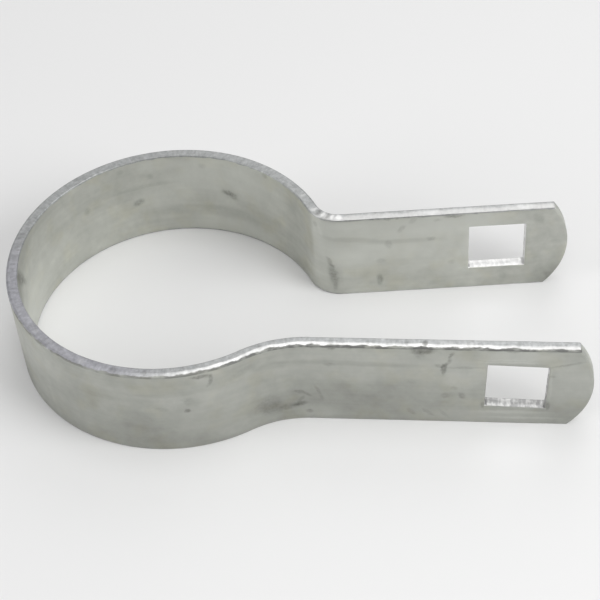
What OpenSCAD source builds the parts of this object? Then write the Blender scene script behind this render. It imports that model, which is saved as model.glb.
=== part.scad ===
// Band that ties a fence panel's end bar to a round post, bent from one strip of galvanised steel.
// The strip runs round the post in a loop, turns back through a bend on each side, and ends in two legs,
// each with a square hole for a carriage bolt. It is as it comes, sprung open, with no post in it.
// The loop's axis is Z, the legs run along +X, and the middle of the strip's width is at z = 0.

/* [Strip] */
// Width of the strip, along the post
strip_w = 19.25; // [16:0.05:28]
// Thickness of the strip
strip_t = 2.1; // [1.4:0.05:4]
// Radius of the strip's rolled long edges
edge_r = 0.3; // [0.1:0.05:1]

/* [Loop] */
// Inside diameter of the loop
loop_d = 54.7; // [46:0.1:90]

/* [Bends] */
// Radius of the rear bend on its hollow side
rear_bend_r = 4.6; // [1:0.1:12]
// Radius of the front bend on its hollow side
front_bend_r = 19; // [4:0.5:30]

/* [Legs] */
// Distance from the loop's centre plane to the rear leg's inner face, where the leg starts
rear_leg_y = 8; // [2:0.1:20]
// Distance from the loop's centre plane to the front leg's inner face, where the leg starts
front_leg_y = 20.7; // [6:0.1:24]
// Length of the rear leg, from its bend to its tip
rear_leg = 42; // [36:0.5:80]
// Length of the front leg, from its bend to its tip
front_leg = 48.9; // [36:0.1:80]
// Angle by which each leg leans outward from the centre plane
splay = 3.1; // [0:0.1:8]

/* [Tips] */
// Radius of the arc in which each leg ends
tip_r = 15.2; // [13:0.1:30]
// Height of that arc's crown above the middle of the strip
tip_up = 0.8; // [0:0.1:2]

/* [Holes] */
// Side of each square hole
hole_w = 10.5; // [6:0.1:13]
// Distance from a leg's tip to the middle of its hole
hole_in = 13.1; // [10:0.1:24]
// Height of the rear hole's middle above the middle of the strip
rear_hole_up = 0.75; // [-2:0.05:2]
// Height of the front hole's middle above the middle of the strip
front_hole_up = 0; // [-2:0.05:2]

/* [Hidden] */
$fn = 96;
// Facets of a full circle in the rolled edges
edge_fn = 16;
// Each bend is this much slimmer all round than the strip next to it, and reaches this far into it,
// so the smooth stretches run into each other without lying face on face
bend_slim = 0.001;
bend_reach = 0.05;
// How far a cut starts before the strip that it shapes
cut_before = 1;

// Radius of the loop at the middle of the strip
loop_r = loop_d/2 + strip_t/2;
// Angles from +X at which the strip leaves the loop
rear_at = leaves_at(rear_bend_r, rear_leg_y);
front_at = leaves_at(front_bend_r, front_leg_y);

// Radius of a bend at the middle of the strip, from the radius on its hollow side
function mid_r(bend_r) = bend_r + strip_t/2;

// Angle at which the strip leaves the loop, for its bend to touch both the loop and a leg that starts at leg_y
function leaves_at(bend_r, leg_y) =
    asin((leg_y + (strip_t/2 + mid_r(bend_r))*cos(splay)) / (loop_r + mid_r(bend_r)));

// Section of the strip, with its thickness along X and its width along Y
module section(slim = 0) {
    half_t = strip_t/2 - slim;
    half_w = strip_w/2 - slim;
    r = min(edge_r, 0.45*strip_t) - slim;
    square(2*[half_t - r, half_w], center = true);
    square(2*[half_t, half_w - r], center = true);
    for (x = [-1, 1], y = [-1, 1])
        translate([x*(half_t - r), y*(half_w - r)])
            circle(r, $fn = edge_fn);
}

// Strip bent about the Z axis, from one angle through another
module bent(r, from, turn, slim = 0)
    rotate(from)
        rotate_extrude(angle = turn)
            translate([r, 0])
                section(slim);

// Side view of a leg, with its round tip and its square hole
module leg_side(leg, hole_up)
    difference() {
        union() {
            translate([-cut_before, -strip_w])
                square([cut_before + leg - tip_r, 2*strip_w]);
            translate([leg - tip_r, tip_up])
                circle(tip_r);
        }
        translate([leg - hole_in, hole_up])
            square(hole_w, center = true);
    }

// Leg that starts at the Z axis and runs along +X
module leg(leg, hole_up)
    intersection() {
        rotate([90, 0, 90])
            linear_extrude(leg)
                section();
        rotate([90, 0, 0])
            linear_extrude(2*strip_t, center = true)
                leg_side(leg, hole_up);
    }

// One side of the band: the bend that touches the loop at an angle, and the leg that it leads to
module side(at, bend_r, leg, hole_up) {
    r = mid_r(bend_r);
    reach = bend_reach/r*180/PI;
    translate((loop_r + r)*[cos(at), sin(at)]) {
        bent(r, 180 + at - reach, 90 + splay - at + 2*reach, bend_slim);
        rotate(splay)
            translate([0, -r])
                leg(leg, hole_up);
    }
}

module band()
    color([0.70, 0.71, 0.67]) {
        bent(loop_r, rear_at, 360 - rear_at - front_at);
        side(rear_at, rear_bend_r, rear_leg, rear_hole_up);
        mirror([0, 1, 0])
            side(front_at, front_bend_r, front_leg, front_hole_up);
    }

band();
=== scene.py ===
"""A fence tension band: one strip of galvanised steel, punched flat and bent, and left sprung open."""

import math

import bpy
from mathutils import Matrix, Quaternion, Vector, noise


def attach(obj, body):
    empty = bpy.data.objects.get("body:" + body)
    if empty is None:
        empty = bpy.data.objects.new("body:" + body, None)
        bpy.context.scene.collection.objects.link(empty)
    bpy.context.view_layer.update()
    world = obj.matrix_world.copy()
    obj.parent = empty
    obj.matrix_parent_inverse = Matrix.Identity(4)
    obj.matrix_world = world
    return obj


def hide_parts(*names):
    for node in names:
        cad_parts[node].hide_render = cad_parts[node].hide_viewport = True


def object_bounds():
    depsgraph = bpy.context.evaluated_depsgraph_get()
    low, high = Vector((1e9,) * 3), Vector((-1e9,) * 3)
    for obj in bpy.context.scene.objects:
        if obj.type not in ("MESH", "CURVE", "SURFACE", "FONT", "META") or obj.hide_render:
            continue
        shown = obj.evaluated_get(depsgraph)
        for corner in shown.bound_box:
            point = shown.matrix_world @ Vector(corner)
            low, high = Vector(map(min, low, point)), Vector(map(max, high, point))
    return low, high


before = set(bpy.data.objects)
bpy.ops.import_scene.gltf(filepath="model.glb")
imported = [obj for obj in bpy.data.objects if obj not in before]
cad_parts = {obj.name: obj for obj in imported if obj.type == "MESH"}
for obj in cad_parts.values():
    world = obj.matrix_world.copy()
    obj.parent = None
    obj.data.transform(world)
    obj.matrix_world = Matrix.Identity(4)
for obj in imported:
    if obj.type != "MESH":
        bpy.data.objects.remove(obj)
cad_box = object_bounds()

MM = 0.001

# Sizes of the strip and its bends, in millimetres, as the solid part has them
STRIP_W = 19.25
STRIP_T = 2.1
SPLAY = math.radians(3.1)
LOOP_R = 54.7 / 2 + STRIP_T / 2
REAR_BEND_R = 4.6 + STRIP_T / 2
FRONT_BEND_R = 19 + STRIP_T / 2
REAR_LEG_Y = 8 + STRIP_T / 2 * math.cos(SPLAY)
FRONT_LEG_Y = 20.7 + STRIP_T / 2 * math.cos(SPLAY)
REAR_LEG = 42
FRONT_LEG = 48.9
TIP_R = 15.2
TIP_UP = 0.8
HOLE_W = 10.5
HOLE_IN = 13.1
REAR_HOLE_UP = 0.75
FRONT_HOLE_UP = 0.0
# The front hole was punched a little askew, clockwise as seen from outside
FRONT_HOLE_TURN = math.radians(2.1)

HALF_W = STRIP_W / 2
HALF_T = STRIP_T / 2
HALF_HOLE = HOLE_W / 2

# The two faces of the strip, the loop's outside and its inside, and the rim between them
OUTSIDE = 1
INSIDE = -1
RIM = 0


def leaves_at(bend_r, leg_y):
    """Angle from +X at which the strip leaves the loop, for its bend to touch both loop and leg."""
    return math.asin((leg_y + bend_r * math.cos(SPLAY)) / (LOOP_R + bend_r))


REAR_AT = leaves_at(REAR_BEND_R, REAR_LEG_Y)
FRONT_AT = leaves_at(FRONT_BEND_R, FRONT_LEG_Y)

# Distance along the strip, from the rear tip, at which each stretch ends
REAR_BEND_END = REAR_LEG + REAR_BEND_R * (math.pi / 2 + SPLAY - REAR_AT)
LOOP_END = REAR_BEND_END + LOOP_R * (2 * math.pi - REAR_AT - FRONT_AT)
FRONT_BEND_END = LOOP_END + FRONT_BEND_R * (math.pi / 2 + SPLAY - FRONT_AT)
LENGTH = FRONT_BEND_END + FRONT_LEG
REAR_HOLE_S = HOLE_IN
FRONT_HOLE_S = LENGTH - HOLE_IN
# Each hole's place along the strip, its height and its turn
HOLES = ((REAR_HOLE_S, REAR_HOLE_UP, 0.0), (FRONT_HOLE_S, FRONT_HOLE_UP, FRONT_HOLE_TURN))


def on_arc(centre, r, angle):
    """Point of a circle in plan."""
    return Vector((centre[0] + r * math.cos(angle), centre[1] + r * math.sin(angle)))


REAR_BEND_CENTRE = on_arc((0, 0), LOOP_R + REAR_BEND_R, REAR_AT)
FRONT_BEND_CENTRE = on_arc((0, 0), LOOP_R + FRONT_BEND_R, -FRONT_AT)


def along(s):
    """Point and outward normal of the strip's middle line, in plan, at a distance s from the rear tip."""
    if s < REAR_LEG:
        run = Vector((math.cos(SPLAY), math.sin(SPLAY)))
        start = on_arc(REAR_BEND_CENTRE, REAR_BEND_R, SPLAY - math.pi / 2)
        return start + run * (REAR_LEG - s), Vector((-run.y, run.x))
    if s < REAR_BEND_END:
        angle = SPLAY - math.pi / 2 - (s - REAR_LEG) / REAR_BEND_R
        p = on_arc(REAR_BEND_CENTRE, REAR_BEND_R, angle)
        return p, (REAR_BEND_CENTRE - p) / REAR_BEND_R
    if s < LOOP_END:
        p = on_arc((0, 0), LOOP_R, REAR_AT + (s - REAR_BEND_END) / LOOP_R)
        return p, p / LOOP_R
    if s < FRONT_BEND_END:
        angle = math.pi - FRONT_AT - (s - LOOP_END) / FRONT_BEND_R
        p = on_arc(FRONT_BEND_CENTRE, FRONT_BEND_R, angle)
        return p, (FRONT_BEND_CENTRE - p) / FRONT_BEND_R
    run = Vector((math.cos(SPLAY), -math.sin(SPLAY)))
    start = on_arc(FRONT_BEND_CENTRE, FRONT_BEND_R, math.pi / 2 - SPLAY)
    return start + run * (s - FRONT_BEND_END), Vector((run.y, -run.x))


def smooth(x):
    """Smooth step of x: 0 below 0 and 1 above 1."""
    x = min(max(x, 0.0), 1.0)
    return x * x * (3 - 2 * x)


def rough(x, y, scale, seed):
    """Smooth noise from about 0 to 1."""
    return 0.5 + 0.5 * noise.noise(Vector((x * scale + seed, y * scale, seed)))


# The shears that slit the strip pulled its upper outside corner over, most of all towards the front tip,
# and left the other corners sharper. Each corner is rolled by ROLL_DOWN across the width of the strip,
# and by its own measure through the thickness.
ROLL_DOWN = 0.3
FRONT_ROLL_IN = 0.95
REAR_ROLL_IN = 0.35
INNER_ROLL_IN = 0.12
LOWER_ROLL_IN = 0.2
# The share of that measure which a corner has everywhere, and the share by which it varies
LEAST_ROLL = 0.8
ROLL_VARIES = 0.4
# Where along the strip the rear measure starts to change to the front one, and over what length
ROLL_GROWS_AT = 130
ROLL_GROWS_OVER = 45
# The corners at the tips and the holes are rolled by one measure both ways, and a hole's are rolled more
# on the side where the punch went in
TIP_ROLL = 0.15
HOLE_ENTRY_ROLL = 0.2
HOLE_EXIT_ROLL = 0.08
# Depth of the waves in the faces
WAVE = 0.03
# Depth of the tears in the sheared walls and in the punched ones, and how far back a punched wall lies
# where it isn't torn
SHEARED_TEAR = 0.04
PUNCHED_TEAR = 0.2
PUNCHED_BACK = 0.02

# Steps of the grid along the strip, along its rear bend and across it, and their number through it
GRID_STEP = 0.55
BEND_STEP = 0.3
ACROSS_STEP = 0.7
THROUGH = 8
# Shares of a rolled corner's width at which it has a grid line, at the long edges and elsewhere
ROLL_LINES = (0, 0.02, 0.08, 0.18, 0.32, 0.5, 0.74, 1)
PUNCHED_LINES = (0, 0.08, 0.3, 0.6, 1)
# Length of the stretch at each tip in which the grid is pushed back to end in an arc
TIP_ZONE = 6.6
# The grid moves with each hole. It stays as it is over EDGE_KEPT along the long edges, moves in full over
# HOLE_RIM beside a hole and END_RIM past its ends, and from there less and less over END_FADE.
EDGE_KEPT = 1.8
HOLE_RIM = 0.5
END_RIM = 0.6
END_FADE = 5
# A point of the grid that is closer than ON_EDGE to a hole is on its edge, and a point of a wall that is
# closer than IN_WALL is in the hole's wall
ON_EDGE = 0.01
IN_WALL = 0.4


def spread(start, end, step):
    """Evenly spaced values from start up to, and without, end."""
    n = max(1, round(abs(end - start) / step))
    return [start + (end - start) * i / n for i in range(n)]


def lines_across():
    """Heights of the grid's lines, closer together at the long edges and at the edges of the holes."""
    edge = [HALF_W - ROLL_DOWN * share for share in ROLL_LINES]
    hole = [HALF_HOLE + HOLE_ENTRY_ROLL * share for share in reversed(PUNCHED_LINES)]
    half = edge + spread(edge[-1], hole[0], ACROSS_STEP)[1:] + hole
    half += spread(HALF_HOLE, 0, ACROSS_STEP)[1:]
    return sorted([-z for z in half] + [0.0] + half)


def lines_along():
    """Places along the strip of the grid's lines, from the rear tip to the front one."""
    start = HOLE_IN - HALF_HOLE
    end = HOLE_IN + HALF_HOLE
    tip = [TIP_ROLL * share for share in PUNCHED_LINES]
    tip += spread(tip[-1], start - HOLE_ENTRY_ROLL, GRID_STEP)[1:]
    tip += [start - HOLE_ENTRY_ROLL * share for share in reversed(PUNCHED_LINES)]
    tip += spread(start, end, GRID_STEP)[1:]
    tip += [end + HOLE_ENTRY_ROLL * share for share in PUNCHED_LINES]
    out = tip + spread(tip[-1], REAR_LEG, GRID_STEP)[1:]
    out += spread(REAR_LEG, REAR_BEND_END, BEND_STEP)
    out += spread(REAR_BEND_END, LENGTH - tip[-1], GRID_STEP)
    return out + [LENGTH - s for s in reversed(tip)]


def tip_setback(z):
    """How far the tip's arc lies behind its crown at height z."""
    return TIP_R - math.sqrt(TIP_R**2 - (z - TIP_UP) ** 2)


def turned(x, z, angle):
    """A point turned clockwise about the origin, as seen from outside."""
    return x * math.cos(angle) + z * math.sin(angle), z * math.cos(angle) - x * math.sin(angle)


def by_hole(s, hole_s):
    """1 beside a hole, and a smooth fall to 0 past its ends."""
    return 1 - smooth((abs(s - hole_s) - HALF_HOLE - END_RIM) / END_FADE)


def shaped(s, z):
    """Moves a point of the plain grid to its place on the blank: round tips, and each hole as it is."""
    kept = HALF_W - EDGE_KEPT
    share = min(1.0, max(0.0, (kept - abs(z)) / (kept - HALF_HOLE - HOLE_RIM)))
    lift = REAR_HOLE_UP * by_hole(s, REAR_HOLE_S) * share
    turn = FRONT_HOLE_TURN * by_hole(s, FRONT_HOLE_S) * share
    x, z = turned(s - FRONT_HOLE_S, z + lift, turn)
    s = FRONT_HOLE_S + x
    pull = tip_setback(z) * max(0.0, 1 - min(s, LENGTH - s) / TIP_ZONE)
    return (s + pull if s < LENGTH / 2 else s - pull), z


def rolled(d, down, deep):
    """How far a face drops at a distance d from an edge, rolled over a width down to a depth deep."""
    left = 1 - min(max(d / down, 0.0), 1.0)
    return deep * left**1.5


def from_hole(s, z):
    """Distance of a point of the blank from the nearest hole's edge."""
    best = math.inf
    for hole_s, hole_up, turn in HOLES:
        x, up = turned(s - hole_s, z - hole_up, -turn)
        best = min(best, math.hypot(max(0.0, abs(x) - HALF_HOLE), max(0.0, abs(up) - HALF_HOLE)))
    return best


def punched_from(s):
    """The face that the nearer hole was punched from: outside at the front, inside at the rear."""
    return OUTSIDE if s > LENGTH / 2 else INSIDE


# Nicks in the outside corner of the front leg's upper rim: place along the strip, half length, depth
NICKS = (
    (197.7, 0.5, 0.12),
    (201.0, 0.7, 0.16),
    (203.6, 0.5, 0.12),
    (216.3, 1.2, 0.20),
    (231.5, 0.6, 0.10),
)
# How far down the face a nick reaches
NICK_DOWN = 1.1


def nicked(s, z, side):
    """Extra drop of the outside face where the rim is nicked."""
    if side == INSIDE or z < 0:
        return 0.0
    near = smooth(1 - (HALF_W - z) / NICK_DOWN)
    return near * sum(deep * math.exp(-(((s - at) / half) ** 2)) for at, half, deep in NICKS)


def corner_roll(s, z, side):
    """How far the corner beside a point is rolled through the thickness."""
    if z <= 0:
        return LOWER_ROLL_IN
    if side == INSIDE:
        return INNER_ROLL_IN
    return REAR_ROLL_IN + (FRONT_ROLL_IN - REAR_ROLL_IN) * smooth((s - ROLL_GROWS_AT) / ROLL_GROWS_OVER)


def height(s, z, side):
    """Distance of a face from the middle of the strip at a point of the blank, outward being positive."""
    wobble = LEAST_ROLL + ROLL_VARIES * rough(s, z, scale=0.35, seed=3.1 * side)
    hole_roll = HOLE_ENTRY_ROLL if side == punched_from(s) else HOLE_EXIT_ROLL
    from_tip = min(s, LENGTH - s) - tip_setback(z)
    drop = max(
        rolled(HALF_W - abs(z), ROLL_DOWN, wobble * corner_roll(s, z, side)),
        rolled(from_tip, TIP_ROLL, TIP_ROLL),
        rolled(from_hole(s, z), hole_roll, hole_roll),
    )
    wave = WAVE * rough(s, z, scale=0.09, seed=5.0 * side)
    return side * (HALF_T - drop - wave - nicked(s, z, side))


def wall_back(s, z, h, punched):
    """How far a wall through the strip lies behind its edge, from the tearing of the metal."""
    if not punched:
        return SHEARED_TEAR * rough(s, h * 2 + z, scale=1.3, seed=11.0)
    torn = 1 - smooth(h * punched_from(s) + 0.5)
    return PUNCHED_BACK + PUNCHED_TEAR * torn * rough(s + z, 0.0, scale=2.2, seed=4.0)


def in_hole(s, z):
    """Whether a point of the plain grid is in a hole."""
    return abs(z) < HALF_HOLE and min(abs(s - hole_s) for hole_s, up, turn in HOLES) < HALF_HOLE


def place(s, z, h):
    """Bends a point of the flat blank round to its place on the band, in metres."""
    p, n = along(s)
    q = p + n * h
    return (q.x * MM, q.y * MM, z * MM)


class Band:
    """The band's mesh as it grows: two faces on a shared grid, and walls round every edge."""

    def __init__(self):
        self.verts = []
        self.faces = []
        # What the material needs to know of each point: its place on the blank, how far it is from the
        # strip's long edge, and how far from a hole
        self.places = []
        self.to_edge = []
        self.to_hole = []
        # The grid's lines, and the place on the blank of each point where two cross, with its number on
        # each face
        self.lengthways = lines_along()
        self.across = lines_across()
        self.blank = {}
        self.grid = {OUTSIDE: {}, INSIDE: {}}

    def add(self, s, z, h, on_wall=False):
        """Adds a point and gives its number."""
        away = from_hole(s, z)
        self.verts.append(place(s, z, h))
        self.places += (s, z, h)
        self.to_edge.append(HALF_W - abs(z))
        self.to_hole.append(0.0 if on_wall and away < IN_WALL else away)
        return len(self.verts) - 1

    def add_crossing(self, at):
        """Adds a point of the grid to both faces."""
        i, j = at
        s, z = shaped(self.lengthways[i], self.across[j])
        self.blank[at] = (s, z)
        for side in (OUTSIDE, INSIDE):
            self.grid[side][at] = self.add(s, z, height(s, z, side))

    def cells(self):
        """The four corners of each cell of the grid that isn't in a hole."""
        for i in range(len(self.lengthways) - 1):
            for j in range(len(self.across) - 1):
                s = (self.lengthways[i] + self.lengthways[i + 1]) / 2
                z = (self.across[j] + self.across[j + 1]) / 2
                if not in_hole(s, z):
                    yield (i, j), (i + 1, j), (i + 1, j + 1), (i, j + 1)

    def add_faces(self):
        """Adds both faces, and gives the edges that run once round the blank and once round each hole."""
        edges = set()
        for corners in self.cells():
            for at in corners:
                if at not in self.blank:
                    self.add_crossing(at)
            self.faces.append([self.grid[OUTSIDE][at] for at in corners])
            self.faces.append([self.grid[INSIDE][at] for at in reversed(corners)])
            for a, b in zip(corners, corners[1:] + corners[:1]):
                if (b, a) in edges:
                    edges.remove((b, a))
                else:
                    edges.add((a, b))
        return sorted(edges)

    def ways_out(self, edges):
        """The direction on the blank that leads out of the metal, at each point of some edges."""
        ways = {}
        for a, b in edges:
            (sa, za), (sb, zb) = self.blank[a], self.blank[b]
            for at in (a, b):
                ways[at] = ways.get(at, Vector((0, 0))) + Vector((zb - za, sa - sb)).normalized()
        return {at: way.normalized() for at, way in ways.items()}

    def add_walls(self, edges):
        """Adds a wall from face to face along some edges."""
        columns = {}
        for at, out in self.ways_out(edges).items():
            s, z = self.blank[at]
            punched = from_hole(s, z) < ON_EDGE
            top = height(s, z, OUTSIDE)
            foot = height(s, z, INSIDE)
            column = [self.grid[OUTSIDE][at]]
            for k in range(1, THROUGH):
                h = top + (foot - top) * k / THROUGH
                back = wall_back(s, z, h, punched)
                column.append(self.add(s - out.x * back, z - out.y * back, h, on_wall=True))
            columns[at] = column + [self.grid[INSIDE][at]]
        for a, b in edges:
            for k in range(THROUGH):
                self.faces.append([columns[b][k], columns[a][k], columns[a][k + 1], columns[b][k + 1]])

    def build(self, name):
        """Makes the object, linked to the scene."""
        edges = self.add_faces()
        self.add_walls(edges)
        mesh = bpy.data.meshes.new(name)
        mesh.from_pydata(self.verts, [], self.faces)
        mesh.attributes.new("strip", "FLOAT_VECTOR", "POINT").data.foreach_set("vector", self.places)
        mesh.attributes.new("edge", "FLOAT", "POINT").data.foreach_set("value", self.to_edge)
        mesh.attributes.new("punched", "FLOAT", "POINT").data.foreach_set("value", self.to_hole)
        mesh.shade_smooth()
        band = bpy.data.objects.new(name, mesh)
        bpy.context.scene.collection.objects.link(band)
        return band


# Share of a mark's reach within which it has its full strength
MARK_CORE = 0.3


class Finish:
    """A material's nodes. Each method but drive adds one pattern and gives its socket."""

    def __init__(self, name):
        self.material = bpy.data.materials.new(name)
        self.material.use_nodes = True
        self.tree = self.material.node_tree
        self.shader = self.tree.nodes["Principled BSDF"]

    def put(self, kind, inputs, output=0, **settings):
        made = self.tree.nodes.new(kind)
        for name, value in settings.items():
            setattr(made, name, value)
        for key, value in inputs.items():
            if isinstance(value, bpy.types.NodeSocket):
                self.tree.links.new(value, made.inputs[key])
            else:
                made.inputs[key].default_value = value
        return made.outputs[output]

    def attribute(self, name, output):
        return self.put("ShaderNodeAttribute", {}, output, attribute_name=name)

    def math(self, operation, *values):
        return self.put("ShaderNodeMath", dict(enumerate(values)), operation=operation)

    def times(self, *values):
        """Product of all the values."""
        product, *others = values
        for value in others:
            product = self.math("MULTIPLY", product, value)
        return product

    def stretched(self, at, by):
        return self.put("ShaderNodeVectorMath", {0: at, 1: by}, operation="MULTIPLY")

    def noise(self, at, scale, detail=2.0, roughness=0.5):
        inputs = {"Vector": at, "Scale": scale, "Detail": detail, "Roughness": roughness}
        return self.put("ShaderNodeTexNoise", inputs)

    def step(self, value, start, end, low=0.0, high=1.0):
        """Smooth step of a value: low at start, high at end. start may be above end."""
        inputs = {0: value, 1: start, 2: end, 3: low, 4: high}
        return self.put("ShaderNodeMapRange", inputs, interpolation_type="SMOOTHSTEP", clamp=False)

    def scaled(self, value, from_low, from_high, low, high):
        inputs = {0: value, 1: from_low, 2: from_high, 3: low, 4: high}
        return self.put("ShaderNodeMapRange", inputs, clamp=False)

    def about_one(self, value, by):
        """Factor that goes from 1 - by to 1 + by as a noise goes over its usual range."""
        return self.scaled(value, 0.3, 0.7, 1 - by, 1 + by)

    def shaded_by(self, colour, tone):
        return self.put("ShaderNodeVectorMath", {0: colour, "Scale": tone}, operation="SCALE")

    def mix(self, share, a, b, blend="MIX"):
        inputs = {0: share, 6: a, 7: b}
        return self.put("ShaderNodeMix", inputs, 2, data_type="RGBA", blend_type=blend)

    def wandering(self, at, by, scale):
        """A place moved about by noise, so that what is drawn there has ragged borders."""
        moved = self.put("ShaderNodeTexNoise", {"Vector": at, "Scale": scale, "Detail": 3.0}, 1)
        centred = self.put("ShaderNodeVectorMath", {0: moved, 1: (-0.5, -0.5, -0.5)}, operation="ADD")
        inputs = {0: centred, 1: (2 * by, 2 * by, 0), 2: at}
        return self.put("ShaderNodeVectorMath", inputs, operation="MULTIPLY_ADD")

    def mark(self, at, side, s, z, length, width, turn=0):
        """1 in an oval mark on one face and 0 outside it, its length along the strip unless it is turned.

        Its border fades, and the length and the width are measured where it has faded to a half.
        """
        inputs = {
            "Vector": at,
            "Location": (s, z, side * HALF_T),
            "Rotation": (0, 0, math.radians(turn)),
            "Scale": (length / (1 + MARK_CORE), width / (1 + MARK_CORE), HALF_T),
        }
        oval = self.put("ShaderNodeMapping", inputs, vector_type="TEXTURE")
        inside = self.put("ShaderNodeTexGradient", {"Vector": oval}, 1, gradient_type="SPHERICAL")
        return self.step(inside, 0.0, 1 - MARK_CORE)

    def marks(self, at, rows):
        """Marks added up, each as strong as its row's first number says."""
        total = 0.0
        for strength, *row in rows:
            total = self.math("MULTIPLY_ADD", self.mark(at, *row), strength, total)
        return total

    def drive(self, name, value):
        """Links a value to the shader."""
        self.tree.links.new(value, self.shader.inputs[name])


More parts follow.
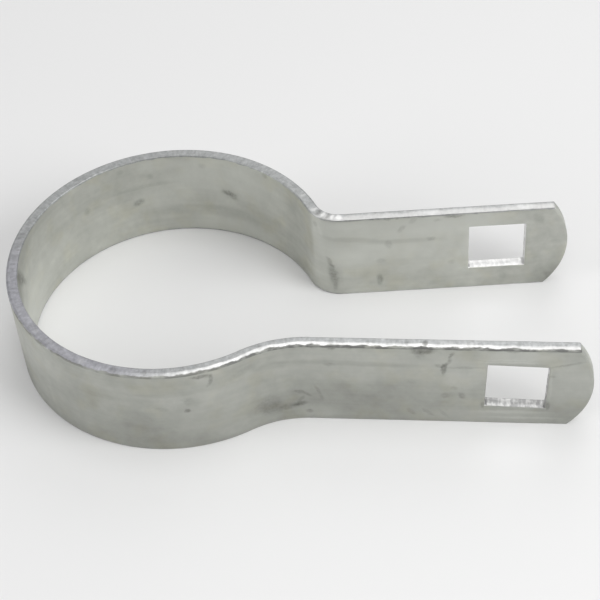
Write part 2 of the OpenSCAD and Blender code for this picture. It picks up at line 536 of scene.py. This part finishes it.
# Dirt, scuffs and scratches, and two patches of painted shade. Each row holds a strength, a face, a place
# along the strip and a height, a length and a width, and, where the mark is turned, its turn in degrees.
DARK_MARKS = (
    # Scratch across the rear leg beside its bend, in two strokes
    (0.21, INSIDE, 43.6, -4.4, 5.0, 1.3, 84),
    (0.18, INSIDE, 44.1, -1.2, 2.4, 0.7, 70),
    (0.14, INSIDE, 43.4, -7.6, 2.0, 0.7, 95),
    (0.10, INSIDE, 43.4, -4.6, 6.5, 2.4, 86),
    # Spots and smudges of the rear leg
    (0.26, INSIDE, 35.1, -6.1, 2.6, 1.1, 88),
    (0.10, INSIDE, 34.8, -1.2, 1.6, 1.2),
    (0.12, INSIDE, 33.3, 2.9, 2.0, 1.2, 80),
    (0.13, INSIDE, 30.9, 6.7, 2.2, 1.0, -52),
    (0.09, INSIDE, 28.8, 8.6, 1.6, 0.9, -40),
    (0.20, INSIDE, 33.4, 9.2, 1.0, 0.6),
    (0.20, INSIDE, 31.6, 9.3, 0.7, 0.5),
    (0.34, INSIDE, 21.2, 9.2, 3.0, 0.9),
    (0.10, INSIDE, 24.2, 8.4, 1.4, 0.7),
    (0.14, INSIDE, 25.4, 3.8, 1.5, 0.9),
    (0.12, INSIDE, 5.6, 7.2, 3.0, 1.8, 70),
    (0.12, INSIDE, 3.2, -7.6, 2.2, 1.4, 60),
    (0.08, INSIDE, 11.8, -7.0, 1.4, 1.4),
    (0.10, INSIDE, 21.6, -2.6, 1.2, 1.2),
    # Rear bend
    (0.13, INSIDE, 46.4, 7.5, 1.1, 1.1),
    # Blots of the loop's inside
    (0.16, INSIDE, 62.2, 9.0, 1.4, 1.2),
    (0.28, INSIDE, 71.5, 1.1, 2.2, 1.2, 10),
    (0.20, INSIDE, 70.3, 0.4, 1.7, 1.4, 50),
    (0.10, INSIDE, 70.9, 0.8, 4.2, 2.6, 20),
    (0.28, INSIDE, 90.2, -0.8, 2.2, 1.4, -25),
    (0.10, INSIDE, 76.3, 7.2, 1.4, 1.2),
    (0.10, INSIDE, 87.2, 5.2, 1.2, 1.2),
    (0.08, INSIDE, 93.0, 8.0, 1.4, 1.2),
    (0.14, INSIDE, 101.3, 2.1, 1.4, 1.6),
    (0.06, INSIDE, 99.0, 2.2, 2.4, 1.6),
    (0.08, INSIDE, 89.0, 3.0, 13.0, 0.9),
    (0.06, INSIDE, 76.0, -3.3, 11.0, 1.2),
    # These two are painted shade beside the upper rim
    (0.24, INSIDE, 127.2, 6.4, 7.0, 2.4, 50),
    (0.16, INSIDE, 125.2, 4.0, 4.0, 1.2, 50),
    # Curl, dots and scuffs of the loop's outside
    (0.32, OUTSIDE, 177.3, 8.4, 3.0, 0.8, -6),
    (0.26, OUTSIDE, 178.9, 7.4, 2.2, 0.7, 86),
    (0.12, OUTSIDE, 178.5, 6.1, 1.4, 0.6, 55),
    (0.34, OUTSIDE, 174.4, 0.5, 1.0, 0.9),
    (0.10, OUTSIDE, 174.8, 2.8, 1.6, 1.8, 80),
    (0.10, OUTSIDE, 170.3, 1.2, 1.8, 1.0, -20),
    (0.07, OUTSIDE, 172.5, 2.6, 8.0, 3.6),
    (0.10, OUTSIDE, 184.5, 6.4, 6.0, 1.4, 12),
    # Smear and squiggles of the front bend
    (0.16, OUTSIDE, 188.6, -4.6, 4.4, 4.4),
    (0.12, OUTSIDE, 190.4, -5.8, 5.4, 2.8, -12),
    (0.14, OUTSIDE, 192.4, -6.0, 4.0, 1.4, 8),
    (0.34, OUTSIDE, 194.7, -5.4, 2.6, 1.0, 12),
    (0.16, OUTSIDE, 194.9, -4.2, 1.8, 0.8, 50),
    (0.20, OUTSIDE, 194.6, -2.2, 2.0, 0.8, -10),
    (0.16, OUTSIDE, 196.0, -2.9, 2.0, 0.7, -35),
    (0.12, OUTSIDE, 198.0, -1.8, 2.4, 0.6, -70),
    (0.10, OUTSIDE, 198.6, -3.6, 1.8, 0.6, -80),
    (0.22, OUTSIDE, 196.2, -7.5, 1.2, 1.0),
    # Front leg
    (0.14, OUTSIDE, 200.2, 4.9, 1.8, 0.9),
    (0.16, OUTSIDE, 197.6, 9.2, 1.0, 0.6),
    (0.30, OUTSIDE, 200.8, 9.1, 1.4, 0.8),
    (0.20, OUTSIDE, 203.8, 9.2, 1.2, 0.6),
    (0.20, OUTSIDE, 231.8, 9.1, 2.4, 0.6),
    (0.40, OUTSIDE, 216.5, 8.8, 3.6, 1.4),
    (0.13, OUTSIDE, 215.6, 8.0, 2.4, 1.2, -40),
    (0.08, OUTSIDE, 215.6, 7.1, 1.4, 0.7, -50),
    (0.34, OUTSIDE, 219.9, 4.3, 2.6, 0.9, 84),
    (0.16, OUTSIDE, 220.2, 5.3, 1.0, 0.7, 60),
    (0.20, OUTSIDE, 220.6, 6.0, 1.5, 0.7, 55),
    (0.14, OUTSIDE, 220.9, 7.0, 1.4, 0.6, 85),
    (0.26, OUTSIDE, 221.2, 8.0, 1.4, 0.7, 65),
    (0.20, OUTSIDE, 219.1, 5.1, 1.5, 0.8, -15),
    (0.12, OUTSIDE, 223.4, 4.8, 6.0, 0.5, 2),
    (0.14, OUTSIDE, 220.2, -2.5, 1.5, 1.3),
    (0.20, OUTSIDE, 223.1, -2.5, 1.0, 1.5, 20),
    (0.12, OUTSIDE, 221.7, -0.5, 1.2, 0.9),
    (0.08, OUTSIDE, 214.2, 1.0, 1.8, 1.2),
    (0.12, OUTSIDE, 214.3, -7.0, 1.8, 0.9, -50),
    (0.14, OUTSIDE, 217.2, -7.0, 2.6, 0.8, -45),
    (0.10, OUTSIDE, 220.0, -7.4, 2.6, 0.7, -50),
    (0.16, OUTSIDE, 240.8, 6.0, 5.4, 0.5, 16),
    (0.14, OUTSIDE, 238.4, 3.0, 0.9, 0.7),
    (0.26, OUTSIDE, 238.0, -4.7, 0.8, 1.8),
    (0.20, OUTSIDE, 226.7, -4.8, 0.7, 1.6),
)
# Painted shade: faint lines along shallow creases that the rolls left, each a long thin mark, and wide
# patches of painted shade
PAINTED_SHADE_MARKS = (
    (0.11, INSIDE, 40.0, 4.6, 11.0, 1.2, 6),
    (0.11, INSIDE, 31.0, 3.6, 13.0, 1.1),
    (0.13, OUTSIDE, 204.0, 5.3, 22.0, 1.2, -2),
    (0.11, OUTSIDE, 191.0, 5.4, 9.0, 1.6, -4),
    (0.08, OUTSIDE, 172.0, 4.9, 11.0, 1.2, 2),
    (0.08, OUTSIDE, 202.0, -4.0, 11.0, 8.0, -8),
    (0.30, INSIDE, 1.5, -9.5, 9.0, 9.0),
    (0.08, INSIDE, 8.0, -4.0, 12.0, 6.0),
    (0.07, INSIDE, 52.0, 0.0, 8.0, 16.0),
    (0.18, INSIDE, 126.0, 10.0, 24.0, 8.0),
    (0.18, INSIDE, 132.0, 8.0, 8.0, 10.0),
    (0.17, OUTSIDE, 136.5, -7.5, 8.0, 9.0),
    (0.08, OUTSIDE, 166.0, -4.5, 12.0, 7.0),
    (0.12, OUTSIDE, 167.0, -8.5, 9.0, 3.5),
    (0.12, INSIDE, 1.5, -4.0, 3.0, 8.0),
    (0.12, INSIDE, 9.5, -8.5, 8.0, 3.0),
    (0.10, INSIDE, 129.0, 6.0, 6.0, 6.0),
)
# Painted light: wide patches of painted light, and narrower painted highlights beside the holes and the
# bends
PAINTED_LIGHT_MARKS = (
    (0.20, INSIDE, 36.0, 1.5, 18.0, 5.0),
    (0.24, INSIDE, 28.0, 7.0, 32.0, 5.0),
    (0.44, INSIDE, 72.0, 5.0, 22.0, 11.0),
    (0.70, INSIDE, 70.5, -8.5, 20.0, 6.0),
    (0.32, INSIDE, 85.0, -0.8, 11.0, 5.0),
    (0.34, INSIDE, 85.0, 8.0, 8.0, 3.0),
    (0.24, INSIDE, 120.0, -0.8, 9.0, 5.0),
    (0.26, INSIDE, 41.0, -0.6, 6.0, 4.0),
    (0.24, INSIDE, 41.0, 8.2, 7.0, 2.0),
    (0.36, OUTSIDE, 233.0, 7.8, 11.0, 3.0),
    (0.30, OUTSIDE, 171.5, 3.2, 5.0, 4.0),
    (0.22, OUTSIDE, 178.5, 8.0, 5.0, 3.0),
    (0.24, OUTSIDE, 198.0, -7.6, 7.0, 4.0),
    (0.16, OUTSIDE, 197.0, 7.6, 6.0, 3.0),
    (0.24, OUTSIDE, 222.5, 1.3, 5.0, 5.0),
    (0.12, INSIDE, 114.0, -2.0, 14.0, 8.0),
    (0.60, INSIDE, 126.0, -6.0, 18.0, 10.0),
    (0.20, OUTSIDE, 140.0, 4.0, 24.0, 9.0),
    (0.18, OUTSIDE, 179.0, 0.0, 14.0, 12.0),
    (0.14, OUTSIDE, 185.0, -7.5, 10.0, 4.0),
    (0.18, OUTSIDE, 212.0, 4.5, 40.0, 7.0),
    (0.20, OUTSIDE, 226.0, -8.0, 22.0, 4.0),
    (0.18, OUTSIDE, 241.0, 1.0, 9.0, 11.0),
    (0.20, OUTSIDE, 232.0, -6.5, 12.0, 0.8),
    (0.16, OUTSIDE, 234.0, -8.0, 12.0, 0.6),
    (0.22, OUTSIDE, 231.0, 6.3, 10.0, 0.5),
    (0.14, OUTSIDE, 230.0, 6.9, 8.0, 0.4),
    (0.14, OUTSIDE, 238.2, 1.0, 0.5, 8.0),
    (0.12, INSIDE, 17.5, -6.6, 4.0, 1.1),
    (0.08, INSIDE, 19.0, 1.0, 0.7, 8.0),
    (0.14, INSIDE, 45.6, 6.6, 0.5, 3.4, -12),
    (0.10, INSIDE, 46.7, 6.6, 0.4, 3.4, -12),
)
# Cuts and dull places of the upper rim, with painted shade between the crinkles of the rear bend, and
# painted glints along the rim, most in the crinkles of the rear bend
RIM_CUT_AND_SHADE_MARKS = (
    (0.36, RIM, 44.4, 9.6, 0.6, 2.4),
    (0.44, RIM, 46.4, 9.6, 0.8, 2.4),
    (0.20, RIM, 119.0, 9.6, 1.6, 2.4),
    (0.30, RIM, 162.6, 9.6, 1.2, 2.4),
    (0.24, RIM, 168.0, 9.6, 0.8, 2.4),
    (0.20, RIM, 188.4, 9.6, 0.8, 2.4),
    (0.14, RIM, 200.6, 9.6, 0.8, 2.4),
    (0.16, RIM, 207.0, 9.6, 0.6, 2.4),
    (0.22, RIM, 213.6, 9.6, 0.6, 2.4),
    (0.55, RIM, 216.7, 9.6, 0.8, 2.4),
    (0.18, RIM, 224.0, 9.6, 0.7, 2.4),
    (0.09, RIM, 232.6, 9.6, 0.7, 2.4),
)
# Painted glints along the upper rim, most in the rear bend's crinkles
RIM_GLINT_MARKS = (
    (0.30, RIM, 8.0, 9.6, 3.0, 2.4),
    (0.30, RIM, 25.6, 9.6, 3.0, 2.4),
    (0.90, RIM, 42.3, 9.6, 1.1, 3.0),
    (0.70, RIM, 43.5, 9.6, 0.7, 3.0),
    (0.70, RIM, 45.4, 9.6, 0.7, 3.0),
    (0.50, RIM, 47.6, 9.6, 0.8, 3.0),
    (0.20, RIM, 52.0, 9.6, 1.0, 3.0),
    (0.16, RIM, 145.0, 9.6, 1.0, 3.0),
    (0.16, RIM, 156.5, 9.6, 1.6, 3.0),
)

# Colours of the faces and of their painted light, of dirt and painted shade, of bare steel and its painted
# highlights and glints, and the two that tint what lies under them, the lilac one a painted reflection
OUTER_ZINC = (0.390, 0.398, 0.366, 1)
INNER_ZINC = (0.460, 0.469, 0.432, 1)
PAINTED_LIGHT_ZINC = (0.66, 0.672, 0.63, 1)
DIRT_AND_SHADE = (0.090, 0.090, 0.075, 1)
GROOVE_SHADE = (0.10, 0.10, 0.10, 1)
TORN_STEEL = (0.47, 0.48, 0.48, 1)
RAGGED_STEEL = (0.33, 0.33, 0.33, 1)
BURNISHED_STEEL_AND_HIGHLIGHT = (0.66, 0.66, 0.65, 1)
POLISHED_STEEL_AND_GLINT = (0.92, 0.92, 0.91, 1)
YELLOWED = (1.0, 0.987, 0.94, 1)
LILAC_REFLECTION = (0.98, 0.96, 1.03, 1)

# Where along the strip its looks change. Each look comes in from the first place of its pair to the
# second, and one that has both a start and an end comes in from either side.
# Painted light on the rear leg's inside, up to the rear bend
REAR_LEG_LIT_FROM = (4.0, 18.0)
REAR_LEG_LIT_UP_TO = (47.7, 46.7)
# The burnished rims carry a painted highlight
REAR_BURNISH_AND_HIGHLIGHT = (49.0, 43.0)
FRONT_BURNISH_AND_HIGHLIGHT = (163.0, 180.0)
FRONT_RIM_PALER = (185.0, 200.0)
RIM_NARROWER = (132.0, 146.0)
# The lilac on the rim is a painted reflection
LILAC_REFLECTION_FROM = (115.0, 130.0)
LILAC_REFLECTION_UP_TO = (176.0, 158.0)
# The line along the outside's rolled corner is painted shade
GROOVE_SHADE_FROM = (122.0, 136.0)
GROOVE_SHADE_DARKER = (165.0, 190.0)
RIM_STREAKED = (40.0, 60.0)
REAR_TO_FRONT = (100.0, 200.0)


class GalvanisedSteel(Finish):
    """Dull zinc, softly mottled, with brighter worked edges that carry painted highlights and glints, the
    dirt of handling, and painted light and shade.
    """

    def __init__(self):
        super().__init__("galvanised_steel")
        self.strip = self.attribute("strip", "Vector")
        self.to_edge = self.attribute("edge", "Fac")
        self.to_hole = self.attribute("punched", "Fac")
        parts = self.tree.nodes.new("ShaderNodeSeparateXYZ")
        self.tree.links.new(self.strip, parts.inputs[0])
        self.s, self.z, self.h = parts.outputs
        # Each step keeps the sockets that later steps share
        colour = self.with_marks(self.zinc())
        colour = self.with_rims(colour)
        colour = self.with_groove_shade(colour)
        colour = self.with_walls(colour)
        self.drive("Base Color", colour)
        self.add_gloss()
        self.add_relief()

    def zinc(self):
        """Colour of the faces, from broad patches down to grain, with painted shade low on the outside
        face.
        """
        broad = self.noise(self.strip, 0.14, 3.0, 0.55)
        middling = self.noise(self.strip, 0.55, 2.0)
        drawn = self.noise(self.stretched(self.strip, (0.05, 1.3, 1.0)), 0.9, 3.0)
        grain = self.noise(self.strip, 3.5, 3.0, 0.7)
        # Painted shade: the outside face darker towards its bottom
        shade_low_outside = self.times(self.step(self.z, 7.0, -8.0), self.step(self.h, -0.3, 0.3))
        tone = self.times(
            self.about_one(broad, 0.09),
            self.about_one(middling, 0.045),
            self.about_one(drawn, 0.025),
            self.about_one(grain, 0.015),
            self.scaled(shade_low_outside, 0.0, 1.0, 1.06, 0.91),
        )
        yellowed = self.step(self.noise(self.strip, 0.17, 2.0, 0.6), 0.48, 0.68)
        colour = self.mix(self.step(self.h, 0.3, -0.3), OUTER_ZINC, INNER_ZINC)
        return self.shaded_by(self.mix(yellowed, colour, YELLOWED, "MULTIPLY"), tone)

    def with_marks(self, colour):
        """Adds the marks, with ragged borders and broken up by noise, patches of painted light and shade,
        and painted light on the rear leg.
        """
        self.ragged = self.wandering(self.wandering(self.strip, 0.35, 0.9), 0.18, 4.0)
        broken = self.scaled(self.noise(self.strip, 1.8, 3.0, 0.55), 0.3, 0.65, 0.8, 1.45)
        dirt_and_shade = self.times(self.marks(self.ragged, DARK_MARKS), broken)
        # Painted shade: lines along shallow creases, and wide patches
        painted_shade = self.marks(self.wandering(self.strip, 0.25, 0.35), PAINTED_SHADE_MARKS)
        self.dirt_and_shade = self.math("ADD", dirt_and_shade, painted_shade)
        # Painted light: the rear leg's inside lighter towards its top
        rear_leg_lit = self.times(
            self.step(self.s, *REAR_LEG_LIT_FROM),
            self.step(self.s, *REAR_LEG_LIT_UP_TO),
            self.step(self.z, -8.0, 3.0, 0.0, 0.52),
        )
        # Painted light in wide patches, and painted highlights beside the holes and the bends
        light = self.math("ADD", rear_leg_lit, self.marks(self.ragged, PAINTED_LIGHT_MARKS))
        return self.mix(self.dirt_and_shade, self.mix(light, colour, PAINTED_LIGHT_ZINC), DIRT_AND_SHADE)

    def with_rims(self, colour):
        """Adds the rims, of torn steel with burnished stretches that carry a painted highlight, painted
        glints, and cuts with painted shade.
        """
        uneven = self.scaled(self.noise(self.strip, 0.8, 3.0), 0.3, 0.7, -1.0, 1.0)
        uneven_by = self.step(self.h, 0.2, -0.2, 0.05, 0.12)
        narrower = self.times(self.step(self.h, -0.2, 0.2), self.step(self.s, *RIM_NARROWER, 0.0, 0.11))
        self.from_rim = self.math("MULTIPLY_ADD", uneven, uneven_by, self.to_edge)
        self.from_rim = self.math("ADD", self.from_rim, narrower)
        self.rim = self.step(self.from_rim, 0.30, 0.22)
        self.streaks = self.noise(self.stretched(self.strip, (1.7, 0.5, 0.8)), 1.0, 4.0, 0.65)
        self.waves = self.noise(self.stretched(self.strip, (0.5, 1, 1)), 1.0, 4.0)
        self.burnish_and_highlight = self.paint_burnish_and_highlight()
        # Burnished steel with a painted highlight
        steel = self.mix(self.burnish_and_highlight, self.torn_steel(), BURNISHED_STEEL_AND_HIGHLIGHT)
        # Painted glints
        steel = self.mix(self.marks(self.ragged, RIM_GLINT_MARKS), steel, POLISHED_STEEL_AND_GLINT)
        # Cuts, and painted shade between the rear bend's crinkles
        steel = self.mix(self.marks(self.ragged, RIM_CUT_AND_SHADE_MARKS), steel, DIRT_AND_SHADE)
        return self.mix(self.rim, colour, steel)

    def paint_burnish_and_highlight(self):
        """How burnished the rims are, with a painted highlight in the same place: the outer half from the
        loop's end on, the inner at the rear leg.
        """
        depth = self.math("ADD", self.h, self.scaled(self.waves, 0.3, 0.7, -0.25, 0.25))
        front = self.times(self.step(depth, -0.3, 0.4), self.step(self.s, *FRONT_BURNISH_AND_HIGHLIGHT))
        rear = self.times(
            self.step(depth, -1.3, -0.9),
            self.step(self.s, *REAR_BURNISH_AND_HIGHLIGHT),
            self.step(depth, 0.5, -0.1, 0.2, 0.9),
        )
        streaked = self.scaled(self.streaks, 0.35, 0.6, 0.82, 1.0)
        return self.times(self.math("MAXIMUM", front, rear), streaked)

    def torn_steel(self):
        """Torn steel, streaked, mottled and flecked, with painted shade at its inner corner and a little
        lilac at the front of the loop, a painted reflection.
        """
        tone = self.times(
            self.about_one(self.streaks, 0.14),
            # Painted shade: the inner corner darker
            self.step(self.h, -1.0, -0.6, 0.85, 1.0),
            self.about_one(self.noise(self.strip, 1.1, 3.0, 0.6), 0.14),
            self.step(self.s, *FRONT_RIM_PALER, 1.0, 1.12),
        )
        # Lilac painted reflection at the front of the loop
        lilac_reflection = self.times(self.step(self.s, *LILAC_REFLECTION_FROM), self.step(self.s, *LILAC_REFLECTION_UP_TO))
        torn = self.mix(lilac_reflection, self.shaded_by(TORN_STEEL[:3], tone), LILAC_REFLECTION, "MULTIPLY")
        flecks = self.noise(self.stretched(self.strip, (1.1, 1.0, 2.0)), 1.0, 4.0, 0.7)
        return self.mix(self.times(self.step(flecks, 0.56, 0.68), 0.35), torn, BURNISHED_STEEL_AND_HIGHLIGHT)

    def with_groove_shade(self, colour):
        """Adds a thin line of painted shade where the rolled corner of the outside face ends."""
        groove_shade = self.times(
            self.step(self.from_rim, 0.22, 0.30),
            self.step(self.from_rim, 0.70, 0.40),
            self.step(self.waves, 0.35, 0.55, 0.4, 1.0),
            self.step(self.h, 0.2, 0.6, 0.05, 0.8),
            self.step(self.z, 6.0, 8.0),
            self.step(self.s, *GROOVE_SHADE_FROM, 0.2, 1.0),
            self.step(self.s, *GROOVE_SHADE_DARKER, 0.65, 1.0),
        )
        return self.mix(groove_shade, colour, GROOVE_SHADE)

    def with_walls(self, colour):
        """Adds the walls of the holes, bright in the rear one, ragged and duller in the front one."""
        self.wall = self.step(self.to_hole, 0.07, 0.01)
        ragged = self.noise(self.stretched(self.strip, (1.3, 1.3, 0.5)), 1.0, 2.0, 0.5)
        ragged = self.times(self.step(ragged, 0.62, 0.40), self.step(self.s, *REAR_TO_FRONT, 0.25, 0.8))
        steel = self.mix(self.step(self.s, *REAR_TO_FRONT), POLISHED_STEEL_AND_GLINT, BURNISHED_STEEL_AND_HIGHLIGHT)
        return self.mix(self.wall, colour, self.mix(ragged, steel, RAGGED_STEEL))

    def add_gloss(self):
        """Dirt and painted shade are duller than zinc, and bare steel glossier the more it is burnished
        and painted with highlight.
        """
        self.bare = self.math("MAXIMUM", self.rim, self.wall)
        zinc = self.scaled(self.noise(self.strip, 0.4, 3.0, 0.6), 0.3, 0.7, 0.46, 0.58)
        zinc = self.math("MULTIPLY_ADD", self.dirt_and_shade, 0.25, zinc)
        steel = self.scaled(self.streaks, 0.3, 0.7, 0.56, 0.48)
        steel = self.math("MULTIPLY_ADD", self.burnish_and_highlight, -0.18, steel)
        self.drive("Roughness", self.put("ShaderNodeMix", {0: self.bare, 2: zinc, 3: steel}))
        self.drive("Metallic", self.step(self.bare, 0.0, 1.0, 0.62, 0.92))

    def add_relief(self):
        """Fine relief: orange peel on the faces, and streaks along the bare steel."""
        peel = self.times(self.noise(self.strip, 1.3, 4.0, 0.6), 0.35)
        streaks_by = self.times(self.bare, self.step(self.s, *RIM_STREAKED, 0.15, 0.35))
        relief = self.math("MULTIPLY_ADD", self.streaks, streaks_by, peel)
        inputs = {"Height": relief, "Distance": 0.00008, "Strength": 0.5}
        self.drive("Normal", self.put("ShaderNodeBump", inputs))


def floor_finish():
    f = Finish("pale_floor")
    f.shader.inputs["Base Color"].default_value = (0.80, 0.80, 0.80, 1)
    f.shader.inputs["Roughness"].default_value = 0.85
    return f.material


# Half the side of the floor, in metres
FLOOR_HALF = 5.0


def build_floor():
    z = cad_box[0].z
    signs = ((-1, -1), (1, -1), (1, 1), (-1, 1))
    corners = [(x * FLOOR_HALF, y * FLOOR_HALF, z) for x, y in signs]
    mesh = bpy.data.meshes.new("floor")
    mesh.from_pydata(corners, [], [(0, 1, 2, 3)])
    mesh.materials.append(floor_finish())
    floor = bpy.data.objects.new("floor", mesh)
    bpy.context.scene.collection.objects.link(floor)


# The camera stands where the photograph was taken from, worked out from the band's outlines in it
CAMERA_AT = Vector((0.04042, -0.21191, 0.21500))
CAMERA_YAW = math.radians(-4.655)
CAMERA_DOWN = math.radians(45.672)
CAMERA_ROLL = math.radians(-4.531)
CAMERA_LENS = 98.55


def add_camera():
    camera = bpy.data.objects.new("camera", bpy.data.cameras.new("camera"))
    camera.data.lens = CAMERA_LENS
    camera.data.clip_start = 0.01
    camera.location = CAMERA_AT
    flat = math.cos(CAMERA_DOWN)
    look = Vector((math.sin(CAMERA_YAW) * flat, math.cos(CAMERA_YAW) * flat, -math.sin(CAMERA_DOWN)))
    camera.rotation_mode = "QUATERNION"
    camera.rotation_quaternion = look.to_track_quat("-Z", "Y") @ Quaternion((0, 0, 1), CAMERA_ROLL)
    bpy.context.scene.collection.objects.link(camera)
    bpy.context.scene.camera = camera


# The point that every lamp looks at
LAMP_AIM = Vector((0.02, 0, 0))


def lamp(name, azimuth, elevation, distance, size, power):
    """A round soft lamp that looks at the band. Azimuth is 0 behind the camera and grows to its right."""
    data = bpy.data.lights.new(name, "AREA")
    data.shape = "DISK"
    data.size = size
    data.energy = power
    light = bpy.data.objects.new(name, data)
    a = math.radians(azimuth)
    e = math.radians(elevation)
    way = Vector((math.sin(a) * math.cos(e), -math.cos(a) * math.cos(e), math.sin(e)))
    light.location = LAMP_AIM + way * distance
    light.rotation_mode = "QUATERNION"
    light.rotation_quaternion = (-way).to_track_quat("-Z", "Y")
    bpy.context.scene.collection.objects.link(light)


def add_light():
    world = bpy.data.worlds.new("studio")
    world.use_nodes = True
    background = world.node_tree.nodes["Background"]
    background.inputs["Color"].default_value = (1, 1, 1, 1)
    background.inputs["Strength"].default_value = 0.34
    bpy.context.scene.world = world
    lamp("right", 65, 35, 0.7, 0.45, 2.8)
    lamp("left", -70, 16, 1.4, 0.8, 6.4)
    lamp("front", 0, 62, 0.7, 0.3, 0.7)
    lamp("overhead", 180, 82, 0.7, 0.35, 0.75)
    lamp("rear", 165, 45, 0.7, 0.5, 0.7)


band = Band().build("band_metal")
band.data.materials.append(GalvanisedSteel().material)
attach(band, "root")
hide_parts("band")
build_floor()
add_camera()
add_light()
bpy.context.scene.view_settings.view_transform = "Standard"
